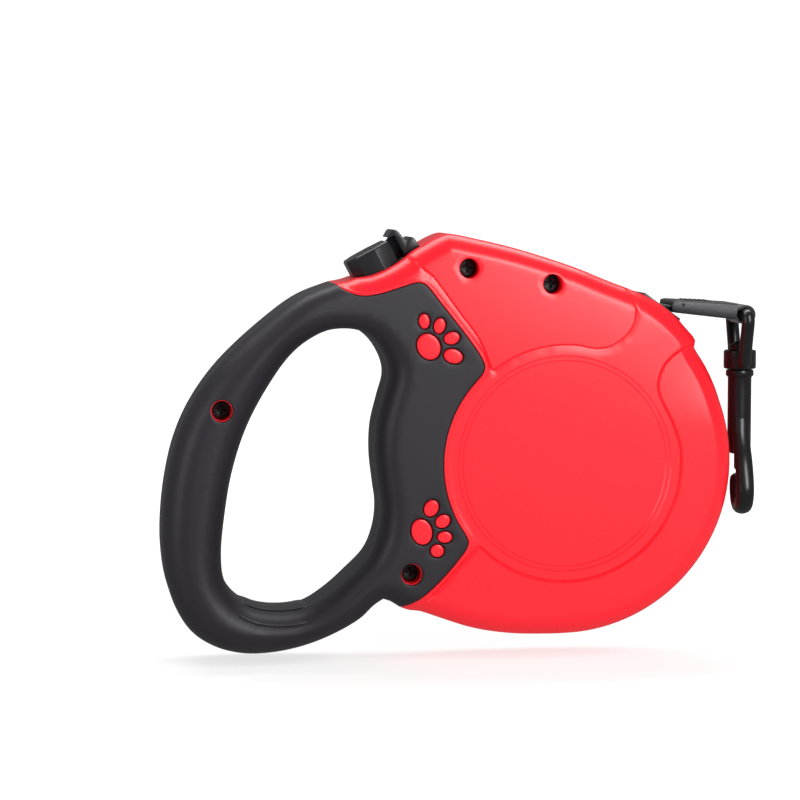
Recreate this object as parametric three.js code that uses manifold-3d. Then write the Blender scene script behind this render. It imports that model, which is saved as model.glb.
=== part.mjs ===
// Retractable leash with a soft-grip loop handle, a tape reel, a thumb brake and a bolt snap.
// Millimetres, +Z up, +X towards the tape mouth. The origin is the middle of the hand grip.

import * as THREE from 'three';
import { mergeVertices } from 'three/addons/utils/BufferGeometryUtils.js';
import Module from 'manifold-3d';

const wasm = await Module();
wasm.setup();

// ---------------------------------------------------------------- driving dimensions

const GAP = 0.3; // clearance between neighbouring pieces
const SEAM = 0.15; // each shell stops this far from the parting plane
const WALL = 2.4; // shell wall
const SKIN = 1.5; // soft grip thickness

const HALF_DEPTH = 17; // half thickness of case and handle
const EDGE_ROUND = 5; // rounding of their long edges
const REEL_X = 110; // reel axis, which runs along Y
const REEL_Z = -5;
const DRUM_RADIUS = 52;
const DISC_RADIUS = 31.5; // recessed round field on each side
const DISC_DEPTH = 0.8;
const GRIP_ARC_RADIUS = 37; // the grip's front edge follows the ring round the disc

const HUB_RADIUS = 26;
const HUB_WALL = 3.4;
const ROLL_RADIUS = 44.2; // 5 m of 0.8 mm tape on the hub
const TAPE_HALF_WIDTH = 7.5;
const TAPE_THICKNESS = 0.8;
const FLANGE_INSIDE = 8.3; // half the space between the flanges
const FLANGE_THICKNESS = 1.8;
const TOOTH_TIP_RADIUS = 48.5;
const TOOTH_ROOT_RADIUS = 45.2;
const TOOTH_COUNT = 36;
const NOTCH_ANGLE = 144.4; // one notch faces the brake blade at rest, degrees
const NOTCH_HALF_ANGLE = 3;
const AXLE_RADIUS = 2;
const ARBOR_RADIUS = 4.5;

const BRAKE_X = 54.5; // foot of the brake button on the shoulder
const BRAKE_Z = 54.5;
const BRAKE_SLOPE = 28; // the shoulder's slope, degrees
const STEM_END = -33.2; // the blade's tip along the press axis, at rest

const MOUTH_X = 143; // where the tape leaves the case
const EYE_X = 168; // the swivel eye's bar, and the hook's axis below it
const EYE_Z = 39.2;
const TAPE_DROP = 6.5; // slope of the tape from the mouth to the eye, degrees
const STOPPER_LENGTH = 20.2;
const STOPPER_TO_EYE = 3.4; // from the stopper's end to the eye's bar
const HOOK_TWIST = -4; // how far the hook hangs turned about its axis, degrees

// screw places on the side of the case, x and z
const SCREWS = [[80.8, 54], [106.2, 49.2], [63.4, -37.9], [6.5, 12]];

// paw pads: middle x and z, half length, half width and tilt in degrees
const PAWS = [
  [67.1, 38.3, 2.2, 1.6, 95], [71.7, 36.9, 2.3, 1.7, 75], [75.4, 33.2, 2.4, 1.8, 15],
  [75.8, 27.8, 2.9, 2.1, -15], [68.4, 30.7, 4.0, 3.4, 120],
  [69.2, -17.9, 2.6, 2.1, 60], [72.7, -21.9, 2.3, 1.9, 30], [73.3, -26.7, 2.2, 1.7, 0],
  [71.0, -30.8, 2.0, 1.9, 0], [66.3, -25.0, 3.9, 3.1, 105],
];

// ---------------------------------------------------------------- solid helpers

const radians = THREE.MathUtils.degToRad;

function solid(geometry) {
  geometry.deleteAttribute('normal');
  geometry.deleteAttribute('uv');
  const merged = mergeVertices(geometry, 1e-4);
  const mesh = new wasm.Mesh({
    numProp: 3,
    vertProperties: new Float32Array(merged.attributes.position.array),
    triVerts: new Uint32Array(merged.index.array),
  });
  return new wasm.Manifold(mesh);
}

function geometryOf(piece) {
  const mesh = piece.getMesh();
  const geometry = new THREE.BufferGeometry();
  geometry.setAttribute('position', new THREE.BufferAttribute(mesh.vertProperties, 3));
  geometry.setIndex(new THREE.BufferAttribute(mesh.triVerts, 1));
  geometry.computeVertexNormals();
  return geometry;
}

function shapeOf(points) {
  return new THREE.Shape(points.map(([x, z]) => new THREE.Vector2(x, z)));
}

// a side view outline made solid from y0 to y1
function plate(shape, y0, y1) {
  const geometry = new THREE.ExtrudeGeometry(shape, { depth: y1 - y0, bevelEnabled: false, curveSegments: 18 });
  geometry.rotateX(Math.PI / 2);
  geometry.translate(0, y1, 0);
  return solid(geometry);
}

// the same outline made solid on both sides of the parting plane, with rounded long edges
function roundedPlate(shape, halfDepth, round) {
  const geometry = new THREE.ExtrudeGeometry(shape, {
    depth: 2 * (halfDepth - round),
    bevelThickness: round,
    bevelSize: round,
    bevelOffset: -round,
    bevelSegments: 2,
  });
  geometry.rotateX(Math.PI / 2);
  geometry.translate(0, halfDepth - round, 0);
  return solid(geometry);
}

// a plan view outline made solid from z0 to z1
function slab(shape, z0, z1) {
  const geometry = new THREE.ExtrudeGeometry(shape, { depth: z1 - z0, bevelEnabled: false });
  geometry.translate(0, 0, z0);
  return solid(geometry);
}

function box(x0, x1, y0, y1, z0, z1) {
  const geometry = new THREE.BoxGeometry(x1 - x0, y1 - y0, z1 - z0);
  geometry.translate((x0 + x1) / 2, (y0 + y1) / 2, (z0 + z1) / 2);
  return solid(geometry);
}

function rodY(x, z, radius, y0, y1, sides = 20) {
  const geometry = new THREE.CylinderGeometry(radius, radius, y1 - y0, sides);
  geometry.translate(x, (y0 + y1) / 2, z);
  return solid(geometry);
}

function rodZ(x, y, radius, z0, z1, sides = 20) {
  const geometry = new THREE.CylinderGeometry(radius, radius, z1 - z0, sides);
  geometry.rotateX(Math.PI / 2);
  geometry.translate(x, y, (z0 + z1) / 2);
  return solid(geometry);
}

// a rod between two points in space
function strut(from, to, radius, sides = 14) {
  const axis = new THREE.Vector3().subVectors(to, from);
  const geometry = new THREE.CylinderGeometry(radius, radius, axis.length(), sides);
  const turn = new THREE.Quaternion().setFromUnitVectors(new THREE.Vector3(0, 1, 0), axis.normalize());
  geometry.applyQuaternion(turn);
  geometry.translate((from.x + to.x) / 2, (from.y + to.y) / 2, (from.z + to.z) / 2);
  return solid(geometry);
}

// a ring about the Y axis, from its radii and its two faces
function ring(inner, outer, y0, y1, sides = 40) {
  const profile = [[inner, y0], [outer, y0], [outer, y1], [inner, y1], [inner, y0]];
  return new THREE.LatheGeometry(profile.map(([r, y]) => new THREE.Vector2(r, y)), sides);
}

// moves a closed outline, listed anticlockwise, inwards by a distance, or outwards if it is negative
function inset(points, distance) {
  return points.map((point, i) => {
    const [x, z] = point;
    const before = points[(i + points.length - 1) % points.length];
    const after = points[(i + 1) % points.length];
    const a = new THREE.Vector2(x - before[0], z - before[1]).normalize();
    const b = new THREE.Vector2(after[0] - x, after[1] - z).normalize();
    const reach = distance / (1 + a.dot(b));
    return [x - (a.y + b.y) * reach, z + (a.x + b.x) * reach];
  });
}

function arc(cx, cz, radius, startAngle, endAngle, steps) {
  return Array.from({ length: steps + 1 }, (unused, i) => {
    const angle = radians(startAngle + ((endAngle - startAngle) * i) / steps);
    return [cx + radius * Math.cos(angle), cz + radius * Math.sin(angle)];
  });
}

function oval(x, z, halfLength, halfWidth, tilt) {
  const shape = new THREE.Shape();
  shape.absellipse(x, z, halfLength, halfWidth, 0, 2 * Math.PI, false, radians(tilt));
  return new THREE.Shape(shape.getPoints(5).slice(0, -1));
}

// ---------------------------------------------------------------- outlines, seen from the side

// case and handle together, anticlockwise from the bottom of the drum
function bodyOutline() {
  return [
    ...arc(REEL_X, REEL_Z, DRUM_RADIUS, -92, 28, 15),
    [151.9, 31.2], [144.9, 39.2], [138.3, 44.1], [132.5, 46.9],
    [122.1, 50.7], [109.1, 55.7], [92.5, 60.7], [75.8, 64.4], [71.6, 63.2], [63.4, 58.2], [57.5, 54.4],
    [48, 51.2], [40.8, 49.5], [32.5, 46.4], [27.3, 43.5], [19.3, 37.5], [12.5, 31.6], [6, 25],
    [0.6, 18], [-3.8, 10.5], [-7.2, 2], [-9.5, -7.5], [-10.9, -18], [-11.2, -29], [-9.8, -40],
    [-6.6, -49], [-2.2, -55.4], [4, -59.6], [13, -61.8], [22, -61.8], [31.6, -59.9], [40.2, -56.6],
    [48.4, -51.6], [52.4, -47.5], [55.2, -45.8], [57.3, -46.5], [60.2, -48.3], [62.8, -49.3],
    [66.5, -49.7], [75.5, -52.9], [87.2, -56], [95, -56.9], [101, -57.1],
  ];
}

// the finger opening
function openingOutline() {
  return [
    [55.2, 28.9], [52.9, 32.2], [49.8, 34.7], [45.5, 35.9], [39, 35.5], [33, 32.6], [27.5, 27.8],
    [20.5, 18], [14.2, 6], [10, -7],
    [7.7, -20], [6.6, -32], [7.4, -39.4], [10.6, -44.8], [16, -48.4], [24, -49.7], [32, -48.6],
    [39, -44.6], [45.4, -39.2], [51.5, -32.8], [54.2, -25.5], [55, -18.5], [54.2, -12], [53.2, -3],
    [53.5, 6], [55.5, 14.5], [57.2, 21], [56.8, 25],
  ];
}

// everything that the soft grip covers, bounded by the red rim on the case side
function gripZone() {
  return [
    [40, 49.6], [38.8, 70], [-30, 70], [-30, -75], [59.8, -75], [60.4, -48], [66, -45.7],
    [74.4, -37.4], ...arc(REEL_X, REEL_Z, GRIP_ARC_RADIUS, 219, 134, 10), [85.3, 24.6],
    [81, 32.3], [67.6, 49.6], [65, 50.1], [59.8, 48.4], [53.8, 46.6], [49.3, 46], [46.3, 46.4],
    [43.3, 47.4],
  ];
}

// the block round the tape slot, with its lip just proud of the case
function nozzleOutline() {
  return [[135.7, 46.2], [133.2, 44.2], [133.2, 38.9], [135.5, 38.2], [144.6, 33], [146.6, 38.3]];
}

// ---------------------------------------------------------------- forms shared by shells and grips

const bodySolid = (depthInwards) => {
  const shape = shapeOf(inset(bodyOutline(), depthInwards));
  shape.holes.push(new THREE.Path(inset(openingOutline(), -depthInwards).map(([x, z]) => new THREE.Vector2(x, z))));
  return roundedPlate(shape, HALF_DEPTH - depthInwards, EDGE_ROUND - depthInwards);
};
const gripPrism = (grow) => plate(shapeOf(inset(gripZone(), -grow)), -30, 30);
const nearSide = box(-60, 220, -40, -SEAM, -100, 100);
const outside = bodySolid(0);

// turns and places a solid from the brake's own axes, u along the shoulder and v out of it
function atBrake(piece) {
  const geometry = geometryOf(piece);
  geometry.rotateY(-radians(BRAKE_SLOPE));
  geometry.translate(BRAKE_X, 0, BRAKE_Z);
  return solid(geometry);
}

function pawBosses(grow, y0, y1) {
  return PAWS.map(([x, z, a, b, tilt]) => plate(oval(x, z, a + grow, b + grow, tilt), y0, y1));
}

// ---------------------------------------------------------------- housing

// hollow half of the case with the handle's core, on the near side
function halfShell() {
  const core = bodySolid(SKIN + GAP);
  const coreHollow = bodySolid(SKIN + GAP + WALL);
  const caseHollow = bodySolid(WALL).subtract(gripPrism(GAP + WALL));
  let shell = outside.subtract(gripPrism(GAP)).add(core.intersect(gripPrism(GAP + 0.01)));
  shell = shell.subtract(coreHollow).subtract(caseHollow);
  for (const boss of pawBosses(0, -HALF_DEPTH - 0.3, 3 - HALF_DEPTH)) {
    shell = shell.add(boss);
  }
  const axleBoss = rodY(REEL_X, REEL_Z, 6, 1 - HALF_DEPTH, -FLANGE_INSIDE - FLANGE_THICKNESS - 0.6);
  const springRib = atBrake(box(-7, 7, -13.5, -3.3, -18.5, -16.7));
  shell = shell.add(axleBoss).add(springRib).intersect(nearSide);
  const disc = rodY(REEL_X, REEL_Z, DISC_RADIUS, -HALF_DEPTH - 2, DISC_DEPTH - HALF_DEPTH, 40);
  const axleBore = rodY(REEL_X, REEL_Z, AXLE_RADIUS + GAP, -13.5, 0, 16);
  const nozzleNotch = plate(shapeOf(inset(nozzleOutline(), -GAP)), -10.8, 10.8);
  const buttonSlot = atBrake(box(-8.4, 14.3, -9.6, 9.6, -8, 6));
  return shell.subtract(disc).subtract(axleBore).subtract(nozzleNotch).subtract(buttonSlot);
}

const POST_ROOT = WALL - 0.1 - HALF_DEPTH; // just inside the wall that the posts stand on

// a post with a counterbore that takes the screw's head
function nearPost(shell, x, z) {
  return shell
    .add(rodY(x, z, 4.6, POST_ROOT, -SEAM))
    .subtract(rodY(x, z, 3, -HALF_DEPTH - 2, -8))
    .subtract(rodY(x, z, 1.6, -9, 1, 12));
}

// a post with a blind hole that takes the screw's thread, on the mirrored half
function farPost(shell, x, z) {
  return shell.add(rodY(x, z, 3.8, POST_ROOT, -SEAM)).subtract(rodY(x, z, 1.6, -12, 1, 12));
}

function mirrored(piece) {
  const mesh = piece.getMesh();
  const places = mesh.vertProperties.map((value, i) => (i % 3 === 1 ? -value : value));
  const corners = mesh.triVerts.slice();
  for (let i = 0; i < corners.length; i += 3) {
    [corners[i], corners[i + 1]] = [corners[i + 1], corners[i]];
  }
  return new wasm.Manifold(new wasm.Mesh({ numProp: 3, vertProperties: places, triVerts: corners }));
}

// soft skin over one handle half, open where the paw pads and screw holes come through
function halfGrip(screws) {
  let skin = outside.intersect(gripPrism(0)).subtract(bodySolid(SKIN)).intersect(nearSide);
  for (const hole of pawBosses(GAP, -30, -10)) {
    skin = skin.subtract(hole);
  }
  for (const [x, z] of screws) {
    skin = skin.subtract(rodY(x, z, 3 + GAP, -30, -10));
  }
  return skin;
}

function tapeNozzle() {
  const slot = shapeOf([[128, 40], [MOUTH_X, 40.9], [158, 39], [158, 41.9], [MOUTH_X, 43.2], [128, 42.4]]);
  return plate(shapeOf(nozzleOutline()), -10.5, 10.5)
    .subtract(plate(slot, -TAPE_HALF_WIDTH - 0.7, TAPE_HALF_WIDTH + 0.7));
}

function caseScrew(x, z) {
  const head = rodY(x, z, 2.6, -10.6, -8 - GAP, 16);
  const cross = box(x - 1.5, x + 1.5, -12, -9.6, z - 0.35, z + 0.35)
    .add(box(x - 0.35, x + 0.35, -12, -9.6, z - 1.5, z + 1.5));
  return head.add(rodY(x, z, 1.3, -9, 9, 10)).subtract(cross);
}

// ribbed strip laid along the lowest part of the finger opening
function handleInlay() {
  const lowest = ([x, z]) => z < -43 && x > 9 && x < 34;
  const under = inset(openingOutline(), 0.05).filter(lowest);
  const over = inset(openingOutline(), 0.8).filter(lowest);
  return plate(shapeOf([...under, ...over.reverse()]), -6, 6);
}

// the tape from the roll to the mouth, touching neither
function tapeRun() {
  const start = [106.5, 39.8];
  const end = [MOUTH_X - 0.8, 42.1];
  const half = TAPE_THICKNESS / 2;
  const strip = shapeOf([[start[0], start[1] - half], [end[0], end[1] - half], [end[0], end[1] + half],
    [start[0], start[1] + half]]);
  return plate(strip, -TAPE_HALF_WIDTH, TAPE_HALF_WIDTH);
}

// ---------------------------------------------------------------- reel, in its own axes

function toothedPlate(holeRadius, y0, y1) {
  const points = [];
  const pitch = 360 / TOOTH_COUNT;
  for (let tooth = 0; tooth < TOOTH_COUNT; tooth += 1) {
    const notch = NOTCH_ANGLE + tooth * pitch;
    points.push(...arc(0, 0, TOOTH_ROOT_RADIUS, notch - NOTCH_HALF_ANGLE, notch + NOTCH_HALF_ANGLE, 1));
    points.push(...arc(0, 0, TOOTH_TIP_RADIUS, notch + NOTCH_HALF_ANGLE + 0.3, notch + pitch - NOTCH_HALF_ANGLE - 0.3, 1));
  }
  const shape = shapeOf(points);
  const hole = new THREE.Path();
  hole.absarc(0, 0, holeRadius, 0, 2 * Math.PI, true);
  shape.holes.push(hole);
  return plate(shape, y0, y1);
}

function reelDrum() {
  const face = FLANGE_INSIDE + FLANGE_THICKNESS;
  const bore = ARBOR_RADIUS + GAP;
  const cavity = HUB_RADIUS - HUB_WALL;
  const profile = [[bore, -face], [HUB_RADIUS, -face], [HUB_RADIUS, face], [cavity, face],
    [cavity, -FLANGE_INSIDE], [bore, -FLANGE_INSIDE], [bore, -face]];
  const cup = new THREE.LatheGeometry(profile.map(([r, y]) => new THREE.Vector2(r, y)), 40);
  const pinSlot = box(HUB_RADIUS - 2.6, HUB_RADIUS + 1, -TAPE_HALF_WIDTH - 0.5, TAPE_HALF_WIDTH + 0.5, -1.1, 1.1);
  return solid(cup).add(toothedPlate(HUB_RADIUS - 1, -face, -FLANGE_INSIDE)).subtract(pinSlot);
}

// ---------------------------------------------------------------- brake, in the shoulder's axes

function buttonPlan(grow) {
  const half = [[-8, -5], [-5, -8.4], [1.2, -8.8], [6.1, -6.6]];
  const other = half.map(([u, y]) => [u, -y]).reverse();
  return shapeOf(inset([...half, ...other], -grow));
}

function brakeButton() {
  const ledge = box(5, 8, -5, 5, -3.2, -1.2);
  return slab(buttonPlan(0), -5.4, 5.6).add(ledge);
}

function brakePawl() {
  const stem = box(-2.5, 2.5, -2.5, 2.5, -24, -5.4 - GAP);
  const blade = shapeOf([[-2.5, -22], [-2.5, -28], [-1.2, STEM_END], [1.2, STEM_END], [2.5, -28], [2.5, -22]]);
  return stem.add(plate(blade, -11, 11));
}

function lockSlider() {
  const thumbPiece = shapeOf([[8.6, -0.6], [13.9, -0.6], [13.6, 2.4], [13, 3.1], [12.2, 3.1], [11.4, 2.6],
    [10.8, 3.4], [10.3, 6.2], [9.6, 7.6], [8.2, 7.5], [6.6, 6.2], [8.6, 5.9]]);
  const neck = box(10.4, 12.8, -4, 4, -4.4, 0);
  const tongue = box(8.4, 13.6, -11, 11, -4.9, -3.6);
  return plate(thumbPiece, -7, 7).add(neck).add(tongue);
}

// ---------------------------------------------------------------- tape end, in axes along the tape

const LEAD_LENGTH = (EYE_X - MOUTH_X) / Math.cos(radians(TAPE_DROP));
const STOPPER_START = LEAD_LENGTH - STOPPER_TO_EYE - STOPPER_LENGTH; // along the tape from the mouth
const EYE_BAR_RADIUS = 1.9;

function tapeLead() {
  const half = TAPE_THICKNESS / 2;
  const strip = shapeOf([[0, -half], [LEAD_LENGTH - EYE_BAR_RADIUS - 0.7, -half],
    [LEAD_LENGTH - EYE_BAR_RADIUS - 0.7, half], [0, half]]);
  const outer = rodY(LEAD_LENGTH, 0, EYE_BAR_RADIUS + GAP + TAPE_THICKNESS, -TAPE_HALF_WIDTH, TAPE_HALF_WIDTH);
  const inner = rodY(LEAD_LENGTH, 0, EYE_BAR_RADIUS + GAP, -10, 10);
  return plate(strip, -TAPE_HALF_WIDTH, TAPE_HALF_WIDTH).add(outer).subtract(inner);
}

// half of the stopper, above the tape (side 1) or below it (side -1)
function stopperHalf(side, thinEnd, thickEnd) {
  const end = STOPPER_START + STOPPER_LENGTH;
  const seam = side * SEAM;
  const corners = [[STOPPER_START, seam], [end, seam], [end, side * thickEnd], [STOPPER_START, side * thinEnd]];
  const channel = box(0, 40, -TAPE_HALF_WIDTH - 0.4, TAPE_HALF_WIDTH + 0.4, -0.7, 0.7);
  return plate(shapeOf(side > 0 ? corners : corners.reverse()), -9, 9).subtract(channel);
}

function stopperCover() {
  let cover = stopperHalf(1, 1.9, 3.2);
  for (let rib = 0; rib < 6; rib += 1) {
    const place = STOPPER_START + 5.5 + rib * 1.4;
    cover = cover.add(box(place, place + 0.6, -6, 6, 1.5, 2.55 + rib * 0.09));
  }
  return cover;
}

// ---------------------------------------------------------------- swivel eye and hook, in axes down the hook

const COLLAR_TOP = 28;
const COLLAR_FOOT = 22.2;

function swivelEye() {
  const barHalf = 10.6;
  const footHalf = 6.9;
  let eye = rodY(0, EYE_Z, EYE_BAR_RADIUS, -barHalf, barHalf, 16);
  for (const side of [-1, 1]) {
    const top = new THREE.Vector3(0, side * barHalf, EYE_Z + 0.8);
    const foot = new THREE.Vector3(0, side * footHalf, COLLAR_FOOT + 2);
    eye = eye.add(strut(top, foot, EYE_BAR_RADIUS));
  }
  eye = eye.add(rodY(0, COLLAR_FOOT + 2.6, 2.4, -footHalf - 1, footHalf + 1, 16));
  eye = eye.add(rodZ(0, 0, 5, COLLAR_FOOT, COLLAR_TOP, 24));
  return eye.subtract(rodZ(0, 0, 2.6, 0, COLLAR_TOP + 1, 16));
}

function swivelRivet() {
  const profile = [[0, 18.3], [2.2, 18.3], [2.2, COLLAR_TOP + GAP], [3.6, COLLAR_TOP + GAP], [3.6, 29.4],
    [2.6, 30.4], [0, 30.8]];
  const geometry = new THREE.LatheGeometry(profile.map(([r, z]) => new THREE.Vector2(r, z)), 20);
  geometry.rotateX(Math.PI / 2);
  return geometry;
}

const BARREL_RADIUS = 3.65;
const BARREL_FOOT = -4;
const BIGHT_RADIUS = 6; // of the wire's centre line at the bottom of the hook
const BIGHT_Y = -5.4;
const BIGHT_Z = -14.4;

function hookBody() {
  const bottom = arc(BIGHT_Y, BIGHT_Z, BIGHT_RADIUS, 180, 360, 8);
  const route = [[-2, 4], [-4.6, -1], [-8.6, -6.5], [-10.9, -11.5], ...bottom, [0.3, -10.6]];
  const curve = new THREE.CatmullRomCurve3(route.map(([y, z]) => new THREE.Vector3(0, y, z)));
  const section = new THREE.Shape();
  section.absarc(0, 0, 2, 0, 2 * Math.PI);
  const wire = new THREE.ExtrudeGeometry(section, { steps: 26, extrudePath: curve, curveSegments: 5 });
  return rodZ(0, 0, BARREL_RADIUS, BARREL_FOOT, 20, 20)
    .add(rodZ(0, 0, 4.3, 19.2, COLLAR_FOOT - GAP, 20))
    .add(solid(wire))
    .subtract(rodZ(0, 0, 1.9, -9.6, 16.5, 16))
    .subtract(rodZ(0, 0, 2.5, 18, 30, 16))
    .subtract(box(-1.2, 1.2, 0, 6, 0.6, 11.6));
}

// ---------------------------------------------------------------- materials

function material(color, roughness, metalness) {
  return new THREE.MeshStandardMaterial({ color, roughness, metalness });
}

const redPlastic = material(0xe8262e, 0.3, 0);
const softGrip = material(0x35333a, 0.75, 0);
const blackPlastic = material(0x1b1b1e, 0.4, 0);
const whitePlastic = material(0xe6e4dc, 0.5, 0);
const steel = material(0xb8bcc2, 0.3, 1);
const springSteel = material(0x6c7078, 0.35, 1);
const tapeNylon = material(0x1c1c20, 0.9, 0);
const blackMetal = material(0x0c0c0e, 0.2, 0.6);

// ---------------------------------------------------------------- assembly

const leash = new THREE.Group();

function group(x, y, z, tiltDegrees = 0, twistDegrees = 0) {
  const placed = new THREE.Group();
  placed.position.set(x, y, z);
  placed.rotation.set(0, radians(tiltDegrees), radians(twistDegrees), 'ZYX');
  leash.add(placed);
  return placed;
}

function addPart(name, shape, look, parent = leash) {
  const mesh = new THREE.Mesh(shape.isBufferGeometry ? shape : geometryOf(shape), look);
  mesh.name = name;
  parent.add(mesh);
}

const shellHalf = halfShell();
addPart('near_shell', SCREWS.reduce((shell, [x, z]) => nearPost(shell, x, z), shellHalf), redPlastic);
addPart('far_shell', mirrored(SCREWS.reduce((shell, [x, z]) => farPost(shell, x, z), shellHalf)), redPlastic);
addPart('near_grip', halfGrip(SCREWS.slice(2)), softGrip);
addPart('far_grip', mirrored(halfGrip([])), softGrip);
addPart('handle_inlay', handleInlay(), softGrip);
addPart('tape_nozzle', tapeNozzle(), blackPlastic);
addPart('tape_run', tapeRun(), tapeNylon);
SCREWS.forEach(([x, z], i) => addPart(`case_screw_${i + 1}`, caseScrew(x, z), steel));

const reel = group(REEL_X, 0, REEL_Z);
const flangeFace = FLANGE_INSIDE + FLANGE_THICKNESS;
addPart('axle_pin', new THREE.CylinderGeometry(AXLE_RADIUS, AXLE_RADIUS, 26, 16), steel, reel);
addPart('spring_arbor', ring(AXLE_RADIUS + GAP, ARBOR_RADIUS, -10.4, 10.4, 20), whitePlastic, reel);
addPart('reel_drum', reelDrum(), whitePlastic, reel);
addPart('reel_flange', toothedPlate(HUB_RADIUS + GAP, FLANGE_INSIDE, flangeFace), whitePlastic, reel);
addPart('spring_cover', ring(ARBOR_RADIUS + GAP, HUB_RADIUS - HUB_WALL - GAP, 9, flangeFace), whitePlastic, reel);
addPart('power_spring', ring(10.5, HUB_RADIUS - HUB_WALL - 0.5, -7.8, 8.5, 32), springSteel, reel);
addPart('tape_roll', ring(HUB_RADIUS + GAP, ROLL_RADIUS, -TAPE_HALF_WIDTH, TAPE_HALF_WIDTH), tapeNylon, reel);
addPart('tape_anchor_pin', rodY(HUB_RADIUS - 1.4, 0, 0.8, -7, 7, 10), steel, reel);

const brake = group(BRAKE_X, 0, BRAKE_Z, -BRAKE_SLOPE);
const springTube = ring(4, 5.2, 0, 10.6, 20);
springTube.rotateX(Math.PI / 2);
springTube.translate(0, 0, -16.3);
addPart('brake_button', brakeButton(), blackPlastic, brake);
addPart('brake_pawl', brakePawl(), whitePlastic, brake);
addPart('button_spring', springTube, steel, brake);
addPart('lock_slider', lockSlider(), blackPlastic, brake);

const tapeEnd = group(EYE_X - LEAD_LENGTH * Math.cos(radians(TAPE_DROP)), 0,
  EYE_Z + LEAD_LENGTH * Math.sin(radians(TAPE_DROP)), TAPE_DROP);
addPart('tape_lead', tapeLead(), tapeNylon, tapeEnd);
addPart('stopper_cover', stopperCover(), blackPlastic, tapeEnd);
addPart('stopper_body', stopperHalf(-1, 1.5, 1.8), blackPlastic, tapeEnd);

const eye = group(EYE_X, 0, 0);
addPart('swivel_eye', swivelEye(), blackMetal, eye);

const hook = group(EYE_X, 0, 0, 0, HOOK_TWIST);
const boltSpring = ring(0.9, 1.5, 4.4, 16.2, 12);
boltSpring.rotateX(Math.PI / 2);
addPart('swivel_rivet', swivelRivet(), blackMetal, hook);
addPart('hook_body', hookBody(), blackMetal, hook);
addPart('snap_bolt', rodZ(0, 0, 1.55, -9.3, 4, 12), blackMetal, hook);
addPart('bolt_knob', rodY(0, 2, 0.8, 1.85, 4.5, 10).add(rodY(0, 2, 2.2, 4.1, 5.6, 16)), blackMetal, hook);
addPart('bolt_spring', boltSpring, steel, hook);

export default leash;
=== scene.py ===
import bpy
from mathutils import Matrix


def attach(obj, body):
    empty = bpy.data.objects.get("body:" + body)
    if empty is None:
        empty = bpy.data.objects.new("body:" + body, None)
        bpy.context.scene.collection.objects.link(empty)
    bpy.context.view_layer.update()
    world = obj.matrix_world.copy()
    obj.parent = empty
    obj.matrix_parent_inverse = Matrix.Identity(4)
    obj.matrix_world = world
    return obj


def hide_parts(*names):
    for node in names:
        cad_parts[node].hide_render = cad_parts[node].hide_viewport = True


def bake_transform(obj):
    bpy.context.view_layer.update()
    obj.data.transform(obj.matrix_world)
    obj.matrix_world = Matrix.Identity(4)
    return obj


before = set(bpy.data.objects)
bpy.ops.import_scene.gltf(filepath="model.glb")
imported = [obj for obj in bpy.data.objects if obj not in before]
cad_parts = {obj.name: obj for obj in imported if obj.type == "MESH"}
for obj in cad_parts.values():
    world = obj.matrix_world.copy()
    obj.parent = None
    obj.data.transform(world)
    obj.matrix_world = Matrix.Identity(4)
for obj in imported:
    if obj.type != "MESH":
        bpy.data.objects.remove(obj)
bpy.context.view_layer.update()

import math

import bmesh
import bpy
import numpy as np
from mathutils import Vector
from mathutils.geometry import delaunay_2d_cdt

# Lengths are millimetres in the row frame, and become metres as each mesh is made.
MM = 0.001

# ---------------------------------------------------------------- driving dimensions

REEL = np.array([110.0, -5.0])  # reel axis, x and z
DRUM_RADIUS = 52.0
BAND_LEVEL = 16.8  # half thickness of the case at the ring, the nozzle field and the band beside the grip
GRIP_LEVEL = 17.0  # and of the grip
# the step up to a raised panel, as distances into it with the rise from the band
PANEL_STEP = ((-0.65, 0), (-0.3, -0.24), (0.3, 0.45))
# the steps down to the sunk round field, as radii with the rise from the band
DISC_STEP = ((31.0, -0.6), (31.35, -0.3), (32.4, -0.3), (32.75, 0))
RING_RADIUS = 36.0
CASE_ROUND = 5.5  # rounding of the case's long edge
CASE_SPACING = 1.5  # size of the triangles on the case
GRIP_SPACING = 1.4  # and on the grip
HANDLE_ROUND = 8.0  # rounding of the handle, seen from the side
HANDLE_ROUND_DEEP = 9.5  # the same, in depth
RIM_WIDTH = 0.9  # raised red rim beside the grip
RIM_RISE = 0.3
CROWN_START = 18.0  # height above which the sides of the case lean in
CROWN_SPAN = 40.0
CROWN_DROP = 1.5
NOZZLE_LEAN_START = 120.0  # and where they lean in towards the tape mouth
NOZZLE_LEAN_SPAN = 30.0
NOZZLE_LEAN_DROP = 1.0
SEAM_CHAMFER = 0.22
SEAM_GAP = 0.03  # from each half's edge to the parting plane
SKIN_DEPTH = 2.0  # how far the skin turns in behind an edge
RIM_WALL = 2.4  # depth of the wall between case and grip
SLOT_DEPTH = 5.0
FIRST_WALL = 4.0  # height of the first row of a wall above the parting plane
GAP = 0.3

SCREWS = ((80.8, 54.0), (106.2, 49.2), (63.4, -37.9), (6.5, 12.0))
SCREW_HOLE = 3.0
SCREW_FLOOR = 8.3  # the counterbore's floor, from the parting plane
PAW_FLOOR = 15.0  # where the walls of the grip's paw holes end
GRIP_FLOOR = 15.2  # where the red post round a grip screw begins

# paw pads: middle x and z, half length, half width and tilt in degrees
PAWS = (
    (67.1, 38.3, 2.2, 1.6, 95), (71.7, 36.9, 2.3, 1.7, 75), (75.4, 33.2, 2.4, 1.8, 15),
    (75.8, 27.8, 2.9, 2.1, -15), (68.4, 30.7, 4.0, 3.4, 120),
    (69.2, -17.9, 2.6, 2.1, 60), (72.7, -21.9, 2.3, 1.9, 30), (73.3, -26.7, 2.2, 1.7, 0),
    (71.0, -30.8, 2.0, 1.9, 0), (66.3, -25.0, 3.9, 3.1, 105),
)

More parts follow.
